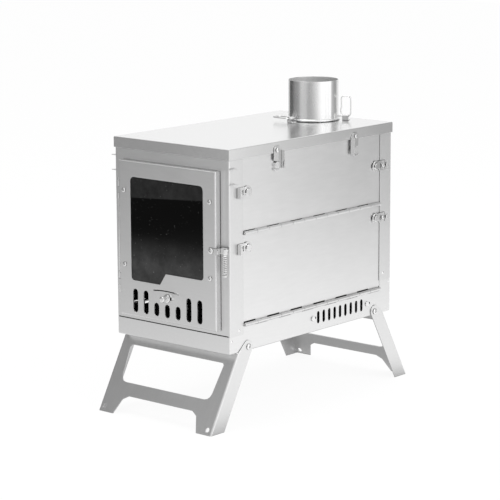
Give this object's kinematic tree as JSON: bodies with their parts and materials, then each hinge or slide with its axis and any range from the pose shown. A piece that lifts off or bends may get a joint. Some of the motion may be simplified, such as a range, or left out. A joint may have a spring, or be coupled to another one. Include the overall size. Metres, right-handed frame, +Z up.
{
  "type": "tent wood stove",
  "caption": "Folding sheet-titanium tent wood stove with glass-fronted door, flue collar, vented tray, hinged side panels held by small latches, and folding bent-sheet legs.",
  "frame": {"origin": "on the ground under the middle of the body: the bounding box bottom centre", "axes": "+X to the right of someone facing the door, +Y from the door to the rear, +Z up"},
  "size_m": [0.2154, 0.42, 0.4226],
  "materials": {
    "side_sheet": "satin rolled titanium",
    "front_sheet": "satin rolled titanium",
    "top_sheet": "satin to bright rolled titanium",
    "leg_sheet": "satin pressed titanium",
    "small_sheet": "satin",
    "steel_fixings": "bright",
    "glass": "gloss, dark firebox behind"
  },
  "bodies": {
    "stove_frame": {"bottom_tray": "side_sheet", "front_panel": "front_sheet", "rear_panel": "front_sheet", "top_plate": "top_sheet", "flue_collar": "top_sheet", "collar_clip_right": "small_sheet", "collar_clip_left": "small_sheet", "fire_grate": "small_sheet", "lower_rod_right": "steel_fixings", "lower_rod_left": "steel_fixings", "leg_screw_front_right": "steel_fixings", "leg_screw_rear_right": "steel_fixings", "leg_screw_front_left": "steel_fixings", "leg_screw_rear_left": "steel_fixings", "door_hinge_pin": "steel_fixings"},
    "right_lower_side": {"lower_panel_right": "side_sheet", "middle_rod_right": "steel_fixings", "boss_front_low_right": "steel_fixings", "boss_rear_low_right": "steel_fixings"},
    "right_upper_side": {"upper_panel_right": "side_sheet", "boss_front_high_right": "steel_fixings", "boss_rear_high_right": "steel_fixings"},
    "left_lower_side": {"lower_panel_left": "side_sheet", "middle_rod_left": "steel_fixings", "boss_front_low_left": "steel_fixings", "boss_rear_low_left": "steel_fixings"},
    "left_upper_side": {"upper_panel_left": "side_sheet", "boss_front_high_left": "steel_fixings", "boss_rear_high_left": "steel_fixings"},
    "door": {"door_panel": "front_sheet", "door_glass": "glass", "glass_retainer": "small_sheet", "glass_screw_1": "steel_fixings", "glass_screw_2": "steel_fixings", "glass_screw_3": "steel_fixings", "glass_screw_4": "steel_fixings", "door_latch_screw": "steel_fixings"},
    "door_latch": {"door_latch_lever": "small_sheet", "door_latch_coil": "steel_fixings"},
    "door_damper": {"door_damper_plate": "small_sheet", "door_damper_knob": "steel_fixings"},
    "right_damper": {"side_damper_right": "small_sheet"},
    "left_damper": {"side_damper_left": "small_sheet"},
    "front_legs": {"front_leg": "leg_sheet"},
    "rear_legs": {"rear_leg": "leg_sheet"},
    "latch_front_low_right_lever": {"latch_front_low_right": "small_sheet"},
    "latch_front_high_right_lever": {"latch_front_high_right": "small_sheet"},
    "latch_top_front_right_lever": {"latch_top_front_right": "small_sheet"},
    "latch_rear_low_right_lever": {"latch_rear_low_right": "small_sheet"},
    "latch_rear_high_right_lever": {"latch_rear_high_right": "small_sheet"},
    "latch_top_rear_right_lever": {"latch_top_rear_right": "small_sheet"},
    "latch_front_low_left_lever": {"latch_front_low_left": "small_sheet"},
    "latch_front_high_left_lever": {"latch_front_high_left": "small_sheet"},
    "latch_top_front_left_lever": {"latch_top_front_left": "small_sheet"},
    "latch_rear_low_left_lever": {"latch_rear_low_left": "small_sheet"},
    "latch_rear_high_left_lever": {"latch_rear_high_left": "small_sheet"},
    "latch_top_rear_left_lever": {"latch_top_rear_left": "small_sheet"},
    "bail_right_wire": {"bail_right": "steel_fixings"},
    "bail_left_wire": {"bail_left": "steel_fixings"}
  },
  "joints": [
    {"name": "fold_right_lower", "type": "hinge", "parent": "stove_frame", "child": "right_lower_side", "pos_m": [0.1013, 0, 0.135], "axis": [0, -1, 0], "range_deg": [0, 90]},
    {"name": "fold_right_upper", "type": "hinge", "parent": "right_lower_side", "child": "right_upper_side", "pos_m": [0.1013, 0, 0.255], "axis": [0, 1, 0], "range_deg": [0, 180]},
    {"name": "fold_left_lower", "type": "hinge", "parent": "stove_frame", "child": "left_lower_side", "pos_m": [-0.1013, 0, 0.135], "axis": [0, 1, 0], "range_deg": [0, 76.5]},
    {"name": "fold_left_upper", "type": "hinge", "parent": "left_lower_side", "child": "left_upper_side", "pos_m": [-0.1013, 0, 0.255], "axis": [0, -1, 0], "range_deg": [0, 153]},
    {"name": "door_swing", "type": "hinge", "parent": "stove_frame", "child": "door", "pos_m": [-0.0885, -0.1765, 0.235], "axis": [0, 0, 1], "range_deg": [-115, 0]},
    {"name": "door_latch_turn", "type": "hinge", "parent": "door", "child": "door_latch", "pos_m": [0.0783, -0.1814, 0.235], "axis": [0, -1, 0], "range_deg": [0, 24]},
    {"name": "door_damper_slide", "type": "slide", "parent": "door", "child": "door_damper", "axis": [1, 0, 0], "range_m": [0, 0.0095]},
    {"name": "right_damper_slide", "type": "slide", "parent": "stove_frame", "child": "right_damper", "axis": [0, 1, 0], "range_m": [0, 0.00593]},
    {"name": "left_damper_slide", "type": "slide", "parent": "stove_frame", "child": "left_damper", "axis": [0, 1, 0], "range_m": [0, 0.00593]},
    {"name": "front_legs_fold", "type": "hinge", "parent": "stove_frame", "child": "front_legs", "pos_m": [0, -0.1347, 0.1043], "axis": [1, 0, 0], "range_deg": [0, 119]},
    {"name": "rear_legs_fold", "type": "hinge", "parent": "stove_frame", "child": "rear_legs", "pos_m": [0, 0.1347, 0.1043], "axis": [-1, 0, 0], "range_deg": [0, 119]},
    {"name": "latch_front_low_right_turn", "type": "hinge", "parent": "stove_frame", "child": "latch_front_low_right_lever", "pos_m": [0.1008, -0.15, 0.2354], "axis": [1, 0, 0], "range_deg": [0, 36]},
    {"name": "latch_front_high_right_turn", "type": "hinge", "parent": "stove_frame", "child": "latch_front_high_right_lever", "pos_m": [0.1008, -0.15, 0.3083], "axis": [1, 0, 0], "range_deg": [0, 70]},
    {"name": "latch_top_front_right_turn", "type": "hinge", "parent": "stove_frame", "child": "latch_top_front_right_lever", "pos_m": [0.102, -0.0785, 0.3555], "axis": [1, 0, 0], "range_deg": [0, 60]},
    {"name": "latch_rear_low_right_turn", "type": "hinge", "parent": "stove_frame", "child": "latch_rear_low_right_lever", "pos_m": [0.1008, 0.15, 0.2354], "axis": [-1, 0, 0], "range_deg": [0, 36]},
    {"name": "latch_rear_high_right_turn", "type": "hinge", "parent": "stove_frame", "child": "latch_rear_high_right_lever", "pos_m": [0.1008, 0.15, 0.3083], "axis": [-1, 0, 0], "range_deg": [0, 70]},
    {"name": "latch_top_rear_right_turn", "type": "hinge", "parent": "stove_frame", "child": "latch_top_rear_right_lever", "pos_m": [0.102, 0.0873, 0.3555], "axis": [-1, 0, 0], "range_deg": [0, 60]},
    {"name": "latch_front_low_left_turn", "type": "hinge", "parent": "stove_frame", "child": "latch_front_low_left_lever", "pos_m": [-0.1008, -0.15, 0.2354], "axis": [1, 0, 0], "range_deg": [0, 36]},
    {"name": "latch_front_high_left_turn", "type": "hinge", "parent": "stove_frame", "child": "latch_front_high_left_lever", "pos_m": [-0.1008, -0.15, 0.3083], "axis": [1, 0, 0], "range_deg": [0, 70]},
    {"name": "latch_top_front_left_turn", "type": "hinge", "parent": "stove_frame", "child": "latch_top_front_left_lever", "pos_m": [-0.102, -0.0785, 0.3555], "axis": [1, 0, 0], "range_deg": [0, 60]},
    {"name": "latch_rear_low_left_turn", "type": "hinge", "parent": "stove_frame", "child": "latch_rear_low_left_lever", "pos_m": [-0.1008, 0.15, 0.2354], "axis": [-1, 0, 0], "range_deg": [0, 36]},
    {"name": "latch_rear_high_left_turn", "type": "hinge", "parent": "stove_frame", "child": "latch_rear_high_left_lever", "pos_m": [-0.1008, 0.15, 0.3083], "axis": [-1, 0, 0], "range_deg": [0, 70]},
    {"name": "latch_top_rear_left_turn", "type": "hinge", "parent": "stove_frame", "child": "latch_top_rear_left_lever", "pos_m": [-0.102, 0.0873, 0.3555], "axis": [-1, 0, 0], "range_deg": [0, 60]},
    {"name": "bail_right_turn", "type": "hinge", "parent": "stove_frame", "child": "bail_right_wire", "pos_m": [0, 0.123, 0.3725], "axis": [0.8988, 0.4384, 0], "range_deg": [0, 90]},
    {"name": "bail_left_turn", "type": "hinge", "parent": "stove_frame", "child": "bail_left_wire", "pos_m": [0, 0.123, 0.3725], "axis": [0.0698, 0.9976, 0], "range_deg": [0, 90]}
  ],
  "couplings": [
    {"joint": "fold_right_upper", "follows": "fold_right_lower", "ratio": 2},
    {"joint": "fold_left_lower", "follows": "fold_right_lower", "ratio": 0.85},
    {"joint": "fold_left_upper", "follows": "fold_right_lower", "ratio": 1.7}
  ]
}
